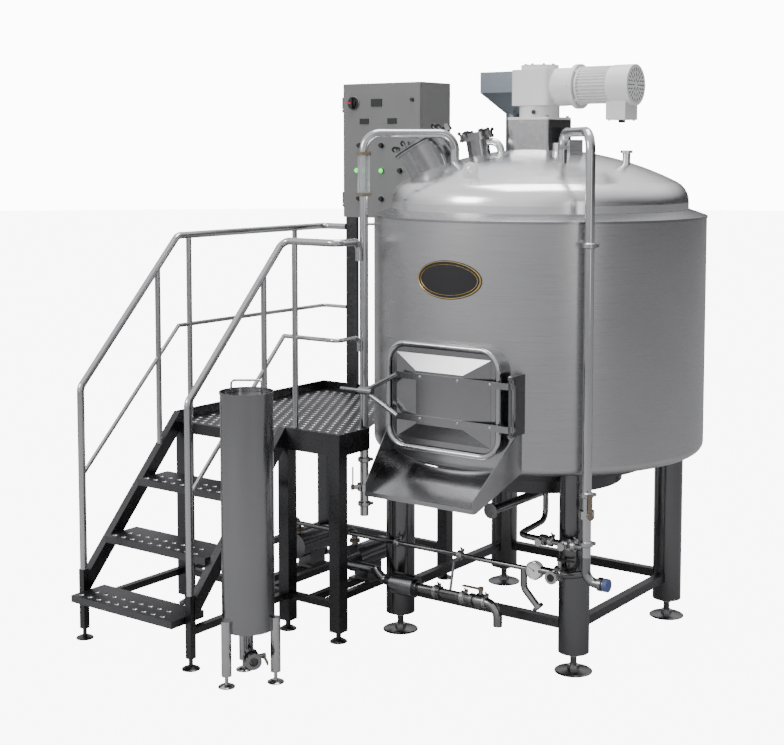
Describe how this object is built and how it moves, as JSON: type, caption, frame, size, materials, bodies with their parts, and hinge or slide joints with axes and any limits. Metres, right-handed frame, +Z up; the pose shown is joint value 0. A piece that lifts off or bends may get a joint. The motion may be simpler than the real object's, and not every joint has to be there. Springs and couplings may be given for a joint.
{
  "type": "brewing mash house",
  "caption": "Insulated mash tun on four legs with a rake door, top agitator drive, stair and working platform, control panel, grant, pumps and pipework.",
  "frame": {"origin": "middle of the plant's footprint, on the floor", "axes": "+Z up; the tank's rake door faces -Y; the platform is on the -X side"},
  "size_m": [2.975, 2.8652, 3.2978],
  "materials": {
    "black_plate": "gloss black with a gold rim",
    "bright_dome": "bright rolled stainless",
    "brushed_tank": "satin brushed stainless cladding",
    "cap_blue": "blue cap",
    "control_black": "black control plastic",
    "drive_paint": "white gearmotor paint",
    "dull_stainless": "dull grey stainless",
    "gauge_white": "white dial in a steel case",
    "hopper_steel": "grey-blue sheet",
    "isolator_red": "black disc with a red handle",
    "lever_tan": "tan handle",
    "panel_steel": "light grey enclosure",
    "pipe_stainless": "polished stainless tube",
    "pump_steel": "stainless pump head and motor shroud",
    "sight_glass": "clear tube in steel ferrules"
  },
  "bodies": {
    "plant": {"jacket_over_door": "brushed_tank", "jacket_under_door": "brushed_tank", "jacket_right": "brushed_tank", "jacket_back": "brushed_tank", "jacket_left": "brushed_tank", "shoulder_ring": "bright_dome", "dome_roof": "bright_dome", "vessel_bottom": "dull_stainless", "drain_pipe": "pipe_stainless", "tank_legs": "pipe_stainless", "leg_rails": "dull_stainless", "door_collar": "pipe_stainless", "door_hinge": "pipe_stainless", "discharge_chute": "pipe_stainless", "name_plate": "black_plate", "pedestal": "pipe_stainless", "gearbox": "drive_paint", "gear_motor": "drive_paint", "grist_hopper": "hopper_steel", "manway_collar": "bright_dome", "sight_port": "bright_dome", "dome_fittings": "bright_dome", "cip_pipe_left": "pipe_stainless", "cip_pipe_right": "pipe_stainless", "sight_glass": "sight_glass", "pipe_clamps": "lever_tan", "cip_end_valve": "pipe_stainless", "cip_end_cap": "cap_blue", "platform_deck": "dull_stainless", "platform_edge": "dull_stainless", "platform_legs": "dull_stainless", "low_frame": "dull_stainless", "stair_strings": "dull_stainless", "tread_1": "dull_stainless", "tread_2": "dull_stainless", "tread_3": "dull_stainless", "handrail_left": "pipe_stainless", "handrail_right": "pipe_stainless", "panel_stand": "dull_stainless", "panel_box": "panel_steel", "grant_body": "pipe_stainless", "grant_legs": "pipe_stainless", "grant_outlet": "pipe_stainless", "wort_line": "pipe_stainless", "header_line": "pipe_stainless", "pressure_gauge": "gauge_white", "pump_left": "pump_steel", "pump_right": "pump_steel"},
    "rake_door": {"rake_door_cover": "pipe_stainless", "rake_door_arms": "pipe_stainless"},
    "manway_lid": {"manway_lid": "bright_dome"},
    "panel_door": {"panel_door": "panel_steel", "panel_controls": "control_black"},
    "isolator": {"isolator_knob": "isolator_red"},
    "grant_lid": {"grant_lid": "pipe_stainless"},
    "grant_lever": {"grant_lever": "lever_tan"},
    "wort_lever": {"wort_lever": "lever_tan"},
    "cip_lever": {"cip_lever": "lever_tan"},
    "cip_lever_left": {"cip_lever_left": "lever_tan"}
  },
  "joints": [
    {"name": "rake_door_hinge", "type": "hinge", "parent": "plant", "child": "rake_door", "pos_m": [0.9475, -0.53231, 1.487], "axis": [0, 0, 1], "range_deg": [0, 100]},
    {"name": "manway_hinge", "type": "hinge", "parent": "plant", "child": "manway_lid", "pos_m": [0.0418, 0.22276, 2.95282], "axis": [-0.454, 0.891, 0], "range_deg": [0, 95]},
    {"name": "panel_door_hinge", "type": "hinge", "parent": "plant", "child": "panel_door", "pos_m": [-1.2495, 0.87869, 2.456], "axis": [0, 0, -1], "range_deg": [0, 120]},
    {"name": "isolator_turn", "type": "hinge", "parent": "panel_door", "child": "isolator", "pos_m": [-1.1485, 0.84769, 3.122], "axis": [0, 1, 0], "range_deg": [0, 90]},
    {"name": "grant_lid_lift", "type": "slide", "parent": "plant", "child": "grant_lid", "axis": [0, 0, 1], "range_m": [0, 0.12]},
    {"name": "grant_lever_turn", "type": "hinge", "parent": "plant", "child": "grant_lever", "pos_m": [-0.17337, -1.28676, 0.15], "axis": [-0.6211, -0.7837, 0], "range_deg": [0, 90]},
    {"name": "wort_lever_turn", "type": "hinge", "parent": "plant", "child": "wort_lever", "pos_m": [0.6075, -0.27131, 0.335], "axis": [0, 0, 1], "range_deg": [0, 90]},
    {"name": "cip_lever_turn", "type": "hinge", "parent": "plant", "child": "cip_lever", "pos_m": [1.25082, -0.26063, 0.918], "axis": [0.7071, -0.7071, 0], "range_deg": [0, 90]},
    {"name": "cip_lever_left_turn", "type": "hinge", "parent": "plant", "child": "cip_lever_left", "pos_m": [-0.20582, -0.26063, 0.858], "axis": [-0.7071, -0.7071, 0], "range_deg": [0, 90]}
  ]
}
